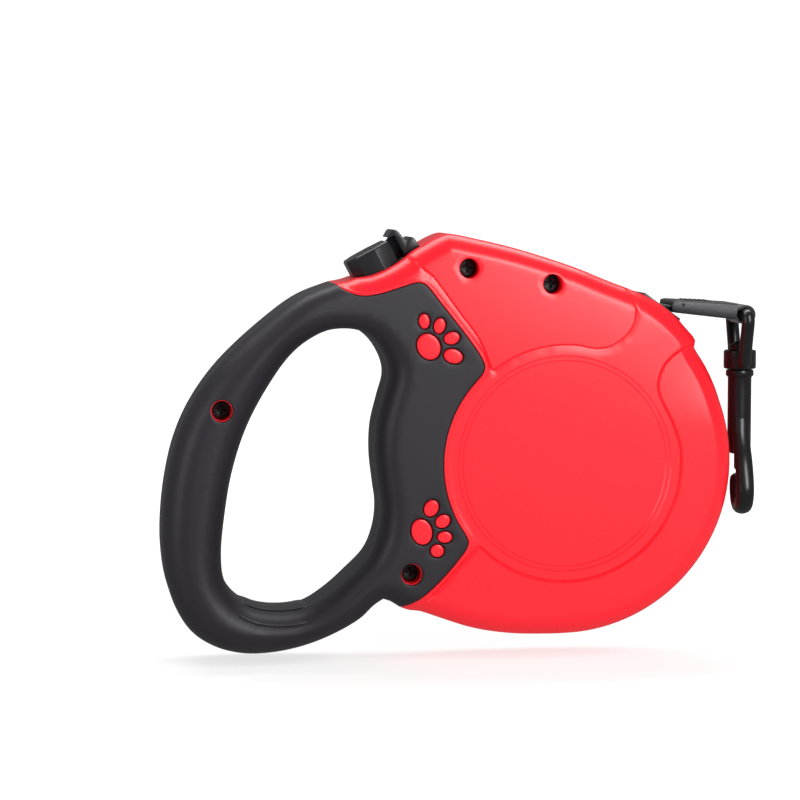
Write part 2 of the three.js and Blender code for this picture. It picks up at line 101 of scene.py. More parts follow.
BRAKE = (54.5, 54.5)  # foot of the brake button on the shoulder, x and z
BRAKE_SLOPE = math.radians(28)
BUTTON_SLOT = 9.6  # half the slot's width
NOZZLE_SLOT = 10.8
BUTTON_SPRING = (-16.3, -5.75)  # foot and head, in the brake's own axes
BOLT_SPRING = (4.4, 16.2)  # lower and upper end

EYE_X = 168.0
EYE_Z = 39.2
TAPE_DROP = math.radians(6.5)
MOUTH_X = 143.0
LEAD_LENGTH = (EYE_X - MOUTH_X) / math.cos(TAPE_DROP)
STOPPER_END = LEAD_LENGTH - 3.4
STOPPER_START = STOPPER_END - 20.2
TAPE_HALF_WIDTH = 7.5
TAPE_THICKNESS = 0.8
HOOK_TWIST = math.radians(-4)
FLOOR_LEVEL = -66.0  # of the studio, a little below the handle


# ---------------------------------------------------------------- curves in the plane

def spline(points, closed=False, step=1.0):
    """Points along a smooth curve through the given ones, about a step apart."""
    points = [np.array(p, float) for p in points]
    count = len(points)
    result = []
    for i in range(count if closed else count - 1):
        here, there = points[i], points[(i + 1) % count]
        before = points[i - 1] if closed or i > 0 else 2 * here - there
        after = points[(i + 2) % count] if closed or i < count - 2 else 2 * there - here
        t0 = math.sqrt(max(np.linalg.norm(here - before), 1e-6))
        t1 = math.sqrt(max(np.linalg.norm(there - here), 1e-6))
        t2 = math.sqrt(max(np.linalg.norm(after - there), 1e-6))
        leave = ((here - before) / t0 - (there - before) / (t0 + t1) + (there - here) / t1) * t1
        arrive = ((there - here) / t1 - (after - here) / (t1 + t2) + (after - there) / t2) * t1
        steps = max(1, round(float(np.linalg.norm(there - here)) / step))
        for k in range(steps):
            t = k / steps
            result.append(
                (2 * t**3 - 3 * t**2 + 1) * here + (t**3 - 2 * t**2 + t) * leave
                + (3 * t**2 - 2 * t**3) * there + (t**3 - t**2) * arrive
            )
    if not closed:
        result.append(points[-1])
    return np.array(result)


def arc(centre, radius, start, end, step=2.0):
    """Points on an arc, with its angles in degrees; the radius may be a pair that it runs between."""
    first, last = radius if isinstance(radius, tuple) else (radius, radius)
    steps = max(2, round(abs(end - start) / step))
    t = np.linspace(0, 1, steps + 1)
    angle = np.radians(start + (end - start) * t)
    r = first + (last - first) * t
    return np.stack([centre[0] + r * np.cos(angle), centre[1] + r * np.sin(angle)], axis=1)


def closed_line(points):
    return np.vstack([points, points[:1]])


def distance_to(points, line):
    """Distance from each point to a line of points."""
    a, d = line[:-1], line[1:] - line[:-1]
    length2 = np.maximum((d * d).sum(1), 1e-12)
    best = np.zeros(len(points))
    for first in range(0, len(points), 2000):
        p = points[first:first + 2000, None, :]
        t = np.clip(((p - a) * d).sum(2) / length2, 0, 1)
        gap = p - (a + t[..., None] * d)
        best[first:first + 2000] = np.sqrt((gap * gap).sum(2).min(1))
    return best


def inside(points, polygon):
    """Which points are inside a closed polygon."""
    x, z = points[:, 0], points[:, 1]
    result = np.zeros(len(points), bool)
    for (x1, z1), (x2, z2) in zip(polygon, np.roll(polygon, -1, axis=0)):
        if z1 != z2:
            result ^= ((z1 > z) != (z2 > z)) & (x < (x2 - x1) * (z - z1) / (z2 - z1) + x1)
    return result


def normals(points, closed=True):
    """Left-hand unit normal at each point, which points inwards on an anticlockwise loop."""
    if closed:
        along = np.roll(points, -1, axis=0) - np.roll(points, 1, axis=0)
    else:
        along = np.gradient(points, axis=0)
    along /= np.maximum(np.linalg.norm(along, axis=1), 1e-9)[:, None]
    return np.stack([-along[:, 1], along[:, 0]], axis=1)


def smoothstep(low, high, value):
    t = np.clip((value - low) / (high - low), 0, 1)
    return t * t * (3 - 2 * t)


def round_over(distance, radius):
    """Quarter circle profile: 0 at the edge, 1 from radius inwards."""
    t = 1 - np.clip(distance / radius, 0, 1)
    return np.sqrt(np.maximum(1 - t * t, 0))


def bend_over(distance, radius, power=1.55):
    """As round_over, but it leaves the flat side with a bend."""
    t = 1 - np.clip(distance / radius, 0, 1)
    return np.maximum(1 - t ** power, 0) ** (1 / power)


def oval(x, z, a, b, tilt, grow=0.0, count=40):
    angle = np.linspace(0, 2 * math.pi, count, endpoint=False)
    u, v = (a + grow) * np.cos(angle), (b + grow) * np.sin(angle)
    turn = math.radians(tilt)
    return np.stack([x + u * math.cos(turn) - v * math.sin(turn),
                     z + u * math.sin(turn) + v * math.cos(turn)], axis=1)


# ---------------------------------------------------------------- outlines, seen from the side

JOIN_TOP = (40.8, 49.5)  # where the grip's front edge meets the outline
JOIN_BOTTOM = (60.2, -48.3)
NOTCH = (55.2, -45.8)  # the corner in the outline between the handle and the case

# the case's outline from the lower join round the drum to the upper join
CASE_SIDE = np.vstack([
    spline([JOIN_BOTTOM, (62.8, -49.3), (66.5, -49.8), (71, -51.3), (75.5, -52.9), (81, -54.7),
            (87.2, -56.1), (95, -57.1), (102, -57.4), *arc(REEL, (52.4, DRUM_RADIUS), -90, 14, 8),
            *arc(REEL, (52.1, 53.4), 20, 39.5, 6)])[:-1],
    spline([(150.9, 29.6), (151.5, 31.5)], step=0.6)[:-1],
    spline([(151.5, 31.5), (150.7, 32.9), (149.6, 34.1), (147.4, 36.5), (144.9, 39), (142.1, 41.4),
            (138.3, 43.9), (133.3, 46.4), (127.4, 48.7)])[:-1],
    spline([(127, 48.8), (122.1, 50.7), (116.1, 53.2), (109.1, 55.7), (101.3, 58.2), (92.5, 60.7),
            (81.6, 63.2), (77.2, 64.1), (74.7, 64.3), (71.6, 63.2), (67.7, 61.1), (63.9, 58.9),
            (61.5, 56.9), (58, 54.6), (54.6, 53.0), (51.2, 51.8), (47.6, 51.2), (44.6, 50.2),
            JOIN_TOP])[:-1],
])

# the handle's outline from the upper join to the lower one
HANDLE_SIDE = np.vstack([spline([
    JOIN_TOP, (32.5, 46.4), (27.3, 43.5), (19.3, 37.5), (12.5, 31.6), (6, 25), (0.6, 18), (-3.8, 10.5),
    (-7.2, 2), (-9.5, -7.5), (-10.9, -18), (-11.2, -29), (-9.8, -40), (-6.6, -49), (-2.2, -55.4),
    (4, -59.6), (12, -61.9), (21, -62), (31.6, -60), (40.2, -56.6), (48.4, -51.6), (52.4, -47.7), NOTCH,
])[:-1], spline([NOTCH, (57.3, -46.5), JOIN_BOTTOM])[:-1]])

OPENING = spline([
    (55.2, 28.9), (52.9, 32.2), (49.8, 34.7), (45.5, 35.9), (39, 35.5), (33, 32.6), (27.5, 27.8),
    (20.5, 18), (14.2, 6), (10, -7),
    (7.7, -20), (6.6, -32), (7.4, -39.4), (10.6, -44.8), (16, -48.4), (24, -49.7), (32, -48.6),
    (39, -44.6), (45.4, -39.2), (51.5, -32.8), (54.2, -25.5), (55, -18.5), (54.2, -12), (53.2, -3),
    (53.5, 6), (55.5, 14.5), (57.2, 21), (56.8, 25),
], closed=True)

# the grip's front edge, from the lower join up to the upper one
GRIP_LINE = spline([
    JOIN_BOTTOM, (65.6, -45.5), (69.8, -42.1), (74.4, -37.4), (77.6, -33.6), (79.9, -30.4), (80.5, -28.3),
    *arc(REEL, 37, 215, 137, 6), (84.5, 22.1), (85.4, 24.3), (84.4, 27.2),
    (81, 32.3), (76, 38.8), (71, 45.2), (68.9, 47.9), (67.3, 49.4), (65.3, 49.9), (62.9, 49.4),
    (59.8, 48.4), (53.8, 46.6), (49.3, 46), (46.3, 46.4), (43.3, 47.6), JOIN_TOP,
], step=0.8)

OUTLINE = np.vstack([CASE_SIDE, HANDLE_SIDE])

# the raised panels: above the ring, and right of and below it
PANEL_ABOVE = np.vstack([
    spline([(126.4, 54), (128.6, 49.4), (130.7, 45), (131.4, 42.2), (131.2, 38.3), (129.3, 34.6),
            (126.1, 31.8), (123.2, 30.3), (120.1, 29.8), (116.7, 30.2),
            *arc(REEL, RING_RADIUS, 82, 128, 4)], step=0.7),
    spline([(87.6, 23.6), (84.0, 32.4), (77.0, 42.0), (72.6, 48.2), (70.2, 51.4)], step=0.7),
    np.array([(66.0, 55.0), (56, 62), (30, 62), (30, 80), (120, 80)], float),
])
PANEL_BELOW = np.vstack([
    np.array([(156, 31.2)], float),
    spline([(151.8, 31.0), (148.5, 30.1), (145.3, 28.7), (142.5, 26.7), (140.3, 24), (139.1, 20.9),
            (138.7, 18), (139.3, 15.2), (140.9, 11.8), (142.8, 8.2), (144.3, 4.4),
            *arc(REEL, RING_RADIUS, 8, -137, 4)], step=0.7),
    np.array([(67.7, -46.9), (66, -60), (66, -80), (170, -80), (170, 20)], float),
])


# ---------------------------------------------------------------- mesh helpers

def link(obj):
    bpy.context.scene.collection.objects.link(obj)
    return obj


def make(name, shape, look, body, nodes=(), smooth=32, weld=None):
    """One mesh object from a shape in millimetres. It rides on a body and stands for CAD nodes."""
    mesh = bpy.data.meshes.new(name)
    mesh.from_pydata([tuple(float(c) * MM for c in v) for v in shape.vertices], [], shape.faces)
    if weld:
        cleaner = bmesh.new()
        cleaner.from_mesh(mesh)
        bmesh.ops.remove_doubles(cleaner, verts=cleaner.verts, dist=weld * MM)
        bmesh.ops.recalc_face_normals(cleaner, faces=cleaner.faces)
        cleaner.to_mesh(mesh)
        cleaner.free()
    mesh.validate()
    obj = link(bpy.data.objects.new(name, mesh))
    return dress(obj, look, body, nodes, smooth)


def dress(obj, look, body, nodes=(), smooth=32):
    obj.data.materials.clear()
    obj.data.materials.append(look)
    obj.data.shade_smooth()
    obj.data.set_sharp_from_angle(angle=math.radians(smooth))
    if body:
        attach(obj, body)
    if nodes:
        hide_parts(*nodes)
    return obj


def bevelled(obj, width, segments, angle):
    """Rounds the hard edges of a mesh object."""
    modifier = obj.modifiers.new("edges", "BEVEL")
    modifier.width = width * MM
    modifier.segments = segments
    modifier.limit_method = "ANGLE"
    modifier.angle_limit = math.radians(angle)
    modifier.miter_outer = "MITER_ARC"
    bpy.context.view_layer.update()
    result = bpy.data.meshes.new_from_object(obj.evaluated_get(bpy.context.evaluated_depsgraph_get()))
    obj.modifiers.clear()
    obj.data = result


class Shape:
    """Collects vertices and faces of one piece."""

    def __init__(self):
        self.vertices = []
        self.faces = []

    def add(self, vertices, faces):
        base = len(self.vertices)
        self.vertices.extend([tuple(float(c) for c in v) for v in vertices])
        self.faces.extend([tuple(base + i for i in face) for face in faces])
        return self

    def moved(self, change):
        self.vertices = [change(v) for v in self.vertices]
        return self


def grid_faces(rows, columns):
    """Quads between rings of vertices."""
    faces = []
    for first in range(0, (rows - 1) * columns, columns):
        for c in range(columns):
            d = (c + 1) % columns
            faces.append((first + c, first + d, first + columns + d, first + columns + c))
    return faces


def end_faces(rows, columns):
    """The two faces that close a stack of rings."""
    return [tuple(range(columns))[::-1], tuple(range((rows - 1) * columns, rows * columns))]


def turned_over(faces):
    return [face[::-1] for face in faces]


def lathe(profile, sides=48, axis="y"):
    """A turned piece from (radius, height) pairs, about the Y or Z axis, closed where the radius is 0."""
    shape = Shape()
    angle = np.linspace(0, 2 * math.pi, sides, endpoint=False)
    rows = []
    for radius, height in profile:
        for a in angle:
            if axis == "y":
                rows.append((radius * math.cos(a), height, radius * math.sin(a)))
            else:
                rows.append((radius * math.cos(a), radius * math.sin(a), height))
    return shape.add(rows, grid_faces(len(profile), sides))


def sweep(path, section, up=(1, 0, 0), scale=None):
    """Carries a section, given as (side, up) offsets, along a path; scale may resize it at each point."""
    path = np.array(path, float)
    along = np.gradient(path, axis=0)
    along /= np.linalg.norm(along, axis=1)[:, None]
    vertices = []
    for i in range(len(path)):
        top = np.array(up, float) - along[i] * np.dot(up, along[i])
        top /= np.linalg.norm(top)
        side = np.cross(along[i], top)
        size = 1.0 if scale is None else scale[i]
        vertices += [path[i] + side * a * size + top * b * size for a, b in section]
    rings = len(path), len(section)
    return Shape().add(vertices, grid_faces(*rings) + end_faces(*rings))


def ellipse(a, b, count=20):
    angle = np.linspace(0, 2 * math.pi, count, endpoint=False)
    return [(a * math.cos(t), b * math.sin(t)) for t in angle]


def rounded_rectangle(half_width, half_height, radius, steps=4):
    """Section of a strip or bar with rounded corners."""
    points = []
    for turn, (sx, sz) in enumerate(((1, 1), (-1, 1), (-1, -1), (1, -1))):
        for k in range(steps + 1):
            angle = math.pi / 2 * (turn + k / steps)
            points.append((sx * (half_width - radius) + radius * math.cos(angle),
                           sz * (half_height - radius) + radius * math.sin(angle)))
    return points


def prism(outline, y0, y1):
    """A solid between two planes across Y, from an outline of (x, z) points."""
    outline = [tuple(p) for p in outline]
    count = len(outline)
    vertices = [(x, y0, z) for x, z in outline] + [(x, y1, z) for x, z in outline]
    faces = [tuple(range(count)), tuple(range(2 * count - 1, count - 1, -1))]
    faces += [(i, count + i, count + (i + 1) % count, (i + 1) % count) for i in range(count)]
    return Shape().add(vertices, faces)


# ---------------------------------------------------------------- materials

def set_inputs(node, values):
    for name, value in values.items():
        node.inputs[name].default_value = value


def material(name, color, roughness, metallic=0.0, coat=0.0, specular=0.5,
             grain=600.0, grain_depth=0.02, grain_spread=0.06, tint=0.06, mottle=60.0):
    """A moulded or coated surface: a fine grain in its relief and gloss, and a slow change of shade."""
    result = bpy.data.materials.new(name)
    result.use_nodes = True
    nodes, links = result.node_tree.nodes, result.node_tree.links
    surface = nodes["Principled BSDF"]
    set_inputs(surface, {"Metallic": metallic, "Coat Weight": coat, "Coat Roughness": 0.12,
                         "Specular IOR Level": specular})
    place = nodes.new("ShaderNodeTexCoord")

    slow = nodes.new("ShaderNodeTexNoise")
    set_inputs(slow, {"Scale": mottle, "Detail": 3.0})
    shade = nodes.new("ShaderNodeValToRGB")
    dark = [c * (1 - tint) for c in color]
    light = [min(1.0, c * (1 + tint)) for c in color]
    shade.color_ramp.elements[0].position = 0.3
    shade.color_ramp.elements[0].color = (*dark, 1)
    shade.color_ramp.elements[1].position = 0.7
    shade.color_ramp.elements[1].color = (*light, 1)
    links.new(place.outputs["Object"], slow.inputs["Vector"])
    links.new(slow.outputs["Fac"], shade.inputs["Fac"])
    links.new(shade.outputs["Color"], surface.inputs["Base Color"])

    fine = nodes.new("ShaderNodeTexNoise")
    set_inputs(fine, {"Scale": grain, "Detail": 4.0})
    gloss = nodes.new("ShaderNodeMapRange")
    set_inputs(gloss, {"To Min": max(0.02, roughness - grain_spread),
                       "To Max": min(1.0, roughness + grain_spread)})
    relief = nodes.new("ShaderNodeBump")
    set_inputs(relief, {"Strength": 0.5, "Distance": grain_depth * MM})
    links.new(place.outputs["Object"], fine.inputs["Vector"])
    links.new(fine.outputs["Fac"], gloss.inputs["Value"])
    links.new(gloss.outputs["Result"], surface.inputs["Roughness"])
    links.new(fine.outputs["Fac"], relief.inputs["Height"])
    links.new(relief.outputs["Normal"], surface.inputs["Normal"])
    return result


def math_node(tree, operation, first, second=None):
    node = tree.nodes.new("ShaderNodeMath")
    node.operation = operation
    for socket, value in zip(node.inputs, (first, second)):
        if isinstance(value, (int, float)):
            socket.default_value = value
        elif value is not None:
            tree.links.new(value, socket)
    return node.outputs[0]


def webbing(name, dark, light, yarn=0.62, pick=0.9):
    """Woven nylon tape. Its UV map holds millimetres along and across the tape."""
    result = bpy.data.materials.new(name)
    result.use_nodes = True
    tree = result.node_tree
    surface = tree.nodes["Principled BSDF"]
    set_inputs(surface, {"Roughness": 0.62, "Sheen Weight": 0.35, "Sheen Roughness": 0.4})
    place = tree.nodes.new("ShaderNodeUVMap")
    parts = tree.nodes.new("ShaderNodeSeparateXYZ")
    tree.links.new(place.outputs["UV"], parts.inputs[0])
    across = math_node(tree, "DIVIDE", parts.outputs["Y"], yarn)
    along = math_node(tree, "DIVIDE", parts.outputs["X"], pick)
    column = math_node(tree, "FLOOR", across)
    shifted = math_node(tree, "ADD", along, math_node(tree, "MULTIPLY", column, 0.5))
    rounded = []
    for turns, power in ((across, 0.6), (shifted, 0.5)):
        wave = math_node(tree, "SINE", math_node(tree, "MULTIPLY", turns, math.pi))
        rounded.append(math_node(tree, "POWER", math_node(tree, "ABSOLUTE", wave), power))
    height = math_node(tree, "MULTIPLY", *rounded)
    # the base colour follows the weave's height: painted shade, darker in the hollows between the yarns and
    # lighter on their crests
    shade = tree.nodes.new("ShaderNodeValToRGB")
    shade.color_ramp.elements[0].color = (*dark, 1)
    shade.color_ramp.elements[1].color = (*light, 1)
    tree.links.new(height, shade.inputs["Fac"])
    tree.links.new(shade.outputs["Color"], surface.inputs["Base Color"])
    relief = tree.nodes.new("ShaderNodeBump")
    set_inputs(relief, {"Strength": 0.9, "Distance": 0.12 * MM})
    tree.links.new(height, relief.inputs["Height"])
    tree.links.new(relief.outputs["Normal"], surface.inputs["Normal"])
    return result


RED = material("red_abs", (0.84, 0.0105, 0.022), 0.27, specular=0.45, grain=2000, grain_depth=0.0015,
               grain_spread=0.01, tint=0.01)
RUBBER = material("soft_grip_rubber", (0.0155, 0.0135, 0.018), 0.48, specular=0.42, grain=1400,
                  grain_depth=0.02, tint=0.08, mottle=40)
SATIN = material("black_satin_plastic", (0.010, 0.010, 0.012), 0.30, grain=1000, tint=0.15)
STOPPER = material("stopper_grey_plastic", (0.016, 0.016, 0.019), 0.38, grain=1000, grain_depth=0.03,
                   tint=0.12)
GLOSS = material("gloss_black_metal", (0.006, 0.006, 0.007), 0.30, coat=0.12, specular=0.42, grain=300,
                 grain_depth=0.004, grain_spread=0.04, tint=0.2)
# Near-black steel; on the case screws this colour is painted shade that keeps the deep screw holes dark
BLACK_SCREW = material("near_black_steel", (0.006, 0.006, 0.007), 0.42, specular=0.3, grain=1500,
                       grain_depth=0.01, tint=0.2)
STEEL = material("zinc_plated_steel", (0.62, 0.63, 0.65), 0.24, metallic=1.0, grain=1800,
                 grain_depth=0.006)
SPRING = material("oiled_spring_steel", (0.30, 0.31, 0.34), 0.28, metallic=1.0, grain=1200,
                  grain_depth=0.006, tint=0.15)
INNER = material("white_acetal", (0.78, 0.77, 0.73), 0.42, grain=700, tint=0.03)
NYLON = webbing("black_nylon_webbing", (0.006, 0.006, 0.007), (0.040, 0.040, 0.046))


# ---------------------------------------------------------------- case and grip surfaces

def crown(points):
    """How far the sides lean in towards the top of the case and towards the tape mouth."""
    x, z = points[:, 0], points[:, 1]
    upward = np.maximum(0, z - CROWN_START) / CROWN_SPAN
    forward = np.maximum(0, x - NOZZLE_LEAN_START) / NOZZLE_LEAN_SPAN
    return CROWN_DROP * upward ** 2 + NOZZLE_LEAN_DROP * forward ** 2 * smoothstep(5, 30, z)


def case_height(points):
    """Half thickness of the red case at each point."""
    edge = distance_to(points, closed_line(OUTLINE))
    rim = distance_to(points, GRIP_LINE)
    radius = np.linalg.norm(points - REEL, axis=1)
    level = BAND_LEVEL - crown(points)
    for panel in (PANEL_ABOVE, PANEL_BELOW):
        away = distance_to(points, closed_line(panel))
        signed = np.where(inside(points, panel), away, -away)
        level += np.interp(signed, *np.transpose(PANEL_STEP))
    level += np.interp(radius, *np.transpose(DISC_STEP))
    level += RIM_RISE * (1 - smoothstep(RIM_WIDTH - 0.25, RIM_WIDTH + 0.3, rim))
    level -= 0.55 * (1 - round_over(rim, 0.42))
    for x, z in SCREWS[:2]:
        level -= 0.3 * (1 - round_over(np.hypot(points[:, 0] - x, points[:, 1] - z) - SCREW_HOLE, 0.35))
    return level - CASE_ROUND * (1 - bend_over(edge, CASE_ROUND))


def grip_height(points):
    """Half thickness at the soft grip."""
    edge = distance_to(points, closed_line(OUTLINE))
    opening = distance_to(points, closed_line(OPENING))
    rim = distance_to(points, GRIP_LINE)
    away = smoothstep(5, 30, rim)
    across = CASE_ROUND + (HANDLE_ROUND - CASE_ROUND) * away
    deep = CASE_ROUND + (HANDLE_ROUND_DEEP - CASE_ROUND) * away
    height = GRIP_LEVEL - crown(points) - deep * (1 - round_over(edge, across) * round_over(opening, across))
    height -= 0.55 * (1 - round_over(rim, 0.5))
    for paw in PAWS:
        ring = oval(*paw, grow=GAP)
        close = np.hypot(points[:, 0] - paw[0], points[:, 1] - paw[1]) < 7
        if close.any():
            gap = distance_to(points[close], closed_line(ring))
            height[close] -= 0.4 * (1 - round_over(gap, 0.45))
    for x, z in SCREWS[2:]:
        away = np.hypot(points[:, 0] - x, points[:, 1] - z) - SCREW_HOLE - GAP
        height -= 0.35 * (1 - round_over(away, 0.5))
    return height


def offset_runs(loop, distance, closed=True):
    """A loop moved inwards, cut where it would fold over; each run is a list of points."""
    moved = loop + normals(loop, closed) * distance
    reference = closed_line(loop) if closed else loop
    good = distance_to(moved, reference) > abs(distance) * 0.97 - 1e-6
    runs, current = [], []
    for point, keep in zip(moved, good):
        if keep:
            current.append(point)
        elif current:
            runs.append(np.array(current))
            current = []
    if current:
        runs.append(np.array(current))
    if closed and len(runs) > 1 and good[0] and good[-1]:
        runs[0] = np.vstack([runs.pop(), runs[0]])
    elif closed and len(runs) == 1 and good.all():
        runs[0] = closed_line(runs[0])
    return [run for run in runs if len(run) > 1]


def between(points, boundary, holes):
    """Which points are inside a boundary and in none of its holes."""
    keep = inside(points, boundary)
    for hole in holes:
        keep &= ~inside(points, hole)
    return keep


def triangulated(boundary, holes, lines, spacing):
    """Triangles over a region, with an edge along each boundary, hole and feature line."""
    points, edges = [], []

    def add_line(line, closed):
        base = len(points)
        points.extend([tuple(p) for p in line])
        count = len(line)
        edges.extend([(base + i, base + (i + 1) % count) for i in range(count if closed else count - 1)])

    add_line(boundary, True)
    for hole in holes:
        add_line(hole, True)
    for line in lines:
        keep = between(line, boundary, holes)
        start = None
        for i in range(len(line) + 1):
            if i < len(line) and keep[i]:
                start = i if start is None else start
            elif start is not None:
                if i - start > 1:
                    add_line(line[start:i], False)
                start = None
    low, high = boundary.min(0), boundary.max(0)
    rows = np.arange(low[1], high[1], spacing * math.sqrt(3) / 2)
    grid = np.array([(x + (r % 2) * spacing / 2, z) for r, z in enumerate(rows)
                     for x in np.arange(low[0], high[0], spacing)])
    grid = grid[between(grid, boundary, holes)]
    taken = np.array(points)
    near = np.zeros(len(grid), bool)
    for first in range(0, len(grid), 1000):
        gap = grid[first:first + 1000, None, :] - taken[None, :, :]
        near[first:first + 1000] = (gap * gap).sum(2).min(1) < (0.55 * spacing) ** 2
    points.extend([tuple(p) for p in grid[~near]])
    result = delaunay_2d_cdt([Vector(p) for p in points], edges, [], 0, 1e-5)
    flat = np.array([tuple(v) for v in result[0]])
    faces = np.array(result[2])
    return flat, faces[between(flat[faces].mean(1), boundary, holes)]


def wall(loop, rows, which):
    """Strips down from a closed loop's edge, where which is true. Each row is an inset and a y."""
    inward = normals(loop)
    layers = []
    for inset, y in rows:
        moved = loop + inward * inset
        layers.append(np.stack([moved[:, 0], np.broadcast_to(y, len(loop)), moved[:, 1]], axis=1))
    count = len(loop)
    faces = [face for face in grid_faces(len(rows), count)
             if which[face[0] % count] and which[face[1] % count]]
    return Shape().add(np.vstack(layers), faces)


def seam_rows(top):
    """Wall rows from a face down to the chamfered edge at the parting plane."""
    return [(0, top), (0, -FIRST_WALL), (0, -SEAM_CHAMFER - SEAM_GAP), (SEAM_CHAMFER, -SEAM_GAP),
            (SKIN_DEPTH, -SEAM_GAP)]


def widened(marks):
    return marks | np.roll(marks, 1) | np.roll(marks, -1)


def surface_piece(boundary, silhouette, holes, lines, height, spacing, slots=(), hole_rows=()):
    """The skin of one half: the face, the walls down to the parting plane, and the sides of its holes.

    silhouette marks the boundary points on the outer outline; slots are (test, y), and there the wall
    stops early.
    """
    flat, faces = triangulated(boundary, holes, lines, spacing)
    shape = Shape().add(np.stack([flat[:, 0], -height(flat), flat[:, 1]], axis=1), faces)
    top = -height(boundary)
    open_here = np.zeros(len(boundary), bool)
    for test, stop in slots:
        here = np.array([test(x, z) for x, z in boundary])
        open_here |= here
        rows = [(0, top), (0, -stop - 0.15), (0.15, -stop), (SLOT_DEPTH, -stop)]
        add_shape(shape, wall(boundary, rows, here & silhouette))
        add_shape(shape, slot_ends(boundary, here, stop))
    add_shape(shape, wall(boundary, seam_rows(top), silhouette & widened(~open_here)))
    add_shape(shape, wall(boundary, [(0, top), (0, top + RIM_WALL)], widened(~silhouette)))
    for loop, rows in hole_rows:
        add_shape(shape, wall(loop, rows, np.ones(len(loop), bool)))
    return shape


def slot_ends(boundary, here, stop):
    """Closes the two ends of a slot in the wall, from the slot's side to the parting plane."""
    shape = Shape()
    inward = normals(boundary)
    for i in range(len(boundary)):
        if here[i] != here[i - 1]:
            k = i if here[i] else i - 1
            x, z = boundary[k]
            dx, dz = inward[k] * SLOT_DEPTH
            shape.add([(x, -stop, z), (x, -SEAM_GAP, z), (x + dx, -SEAM_GAP, z + dz),
                       (x + dx, -stop, z + dz)], [(0, 1, 2, 3)])
    return shape


def add_shape(shape, other):
    shape.add(other.vertices, other.faces)


def shift(dx, dy, dz):
    return lambda v: (v[0] + dx, v[1] + dy, v[2] + dz)


def flipped(shape):
    """The mirror image across the parting plane."""
    return Shape().add([(x, -y, z) for x, y, z in shape.vertices], turned_over(shape.faces))


def circle(x, z, radius, count=40):
    angle = np.linspace(0, 2 * math.pi, count, endpoint=False)
    return np.stack([x + radius * np.cos(angle), z + radius * np.sin(angle)], axis=1)


def at_button(x, z):
    u = (x - BRAKE[0]) * math.cos(BRAKE_SLOPE) + (z - BRAKE[1]) * math.sin(BRAKE_SLOPE)
    return -8.3 < u < 14.2 and z > 45


def at_nozzle(x, z):
    return 134 < x < 148.2 and z > 37.1


ROUND_STEPS = [1 - math.cos(math.radians(a)) for a in (18, 32, 46, 60, 75, 90)]
BEND_STEPS = (0.03, 0.1, 0.22, 0.38, 0.56, 0.74, 0.88, 0.96, 1.0)


def case_half(with_screws):
    boundary = np.vstack([CASE_SIDE, GRIP_LINE[::-1][:-1]])
    silhouette = np.zeros(len(boundary), bool)
    silhouette[:len(CASE_SIDE) + 1] = True
    silhouette[-1] = False
    lines = []
    for share in BEND_STEPS:
        lines += offset_runs(OUTLINE, CASE_ROUND * share)
    for away in (0.12, 0.28, 0.42, RIM_WIDTH - 0.25, RIM_WIDTH + 0.02, RIM_WIDTH + 0.3):
        lines += offset_runs(GRIP_LINE, -away, closed=False)
    for panel in (PANEL_ABOVE, PANEL_BELOW):
        for away, _ in PANEL_STEP:
            lines += offset_runs(panel, away)
    for radius, _ in DISC_STEP:
        lines.append(arc(REEL, radius, 0, 360, 1.6))
    holes, hole_rows = [], []
    if with_screws:
        for x, z in SCREWS[:2]:
            loop = circle(x, z, SCREW_HOLE)
            holes.append(loop)
            top = -case_height(loop[::-1])
            rows = [(0, top), (0, -SCREW_FLOOR), (-0.01, -SCREW_FLOOR), (SKIN_DEPTH, -SCREW_FLOOR)]
            hole_rows.append((loop[::-1], rows))
            lines += [closed_line(circle(x, z, SCREW_HOLE + away)) for away in (0.1, 0.35)]
    shape = surface_piece(boundary, silhouette, holes, lines, case_height, CASE_SPACING,
                          [(at_button, BUTTON_SLOT), (at_nozzle, NOZZLE_SLOT)], hole_rows)
    for paw in PAWS:
        add_shape(shape, paw_pad(*paw))
    if with_screws:
        for x, z in SCREWS[2:]:
            profile = [(SCREW_HOLE + 0.6, -GRIP_FLOOR), (SCREW_HOLE + 0.1, -GRIP_FLOOR),
                       (SCREW_HOLE, 0.1 - GRIP_FLOOR), (SCREW_HOLE, -SCREW_FLOOR), (1, -SCREW_FLOOR)]
            add_shape(shape, lathe(profile, 40).moved(shift(x, 0, z)))
    return shape


def paw_pad(x, z, a, b, tilt):
    """A domed pad that stands in an oval hole of the grip."""
    layers = [(-0.9, 14.6), (0.0, 14.6), (0.0, 16.6), (0.07, 16.76), (0.2, 16.86), (0.5, 16.92),
              (1.1, 16.95)]
    lean = crown(np.array([(x, z)]))[0]
    vertices = []
    for inset, level in layers:
        vertices += [(px, lean - level, pz) for px, pz in oval(x, z, a, b, tilt, grow=-inset)]
    count = len(vertices) // len(layers)
    faces = turned_over(grid_faces(len(layers), count))
    vertices.append((x, lean - 16.97, z))
    base = (len(layers) - 1) * count
    faces += [(base + i, len(vertices) - 1, base + (i + 1) % count) for i in range(count)]
    return Shape().add(vertices, faces)


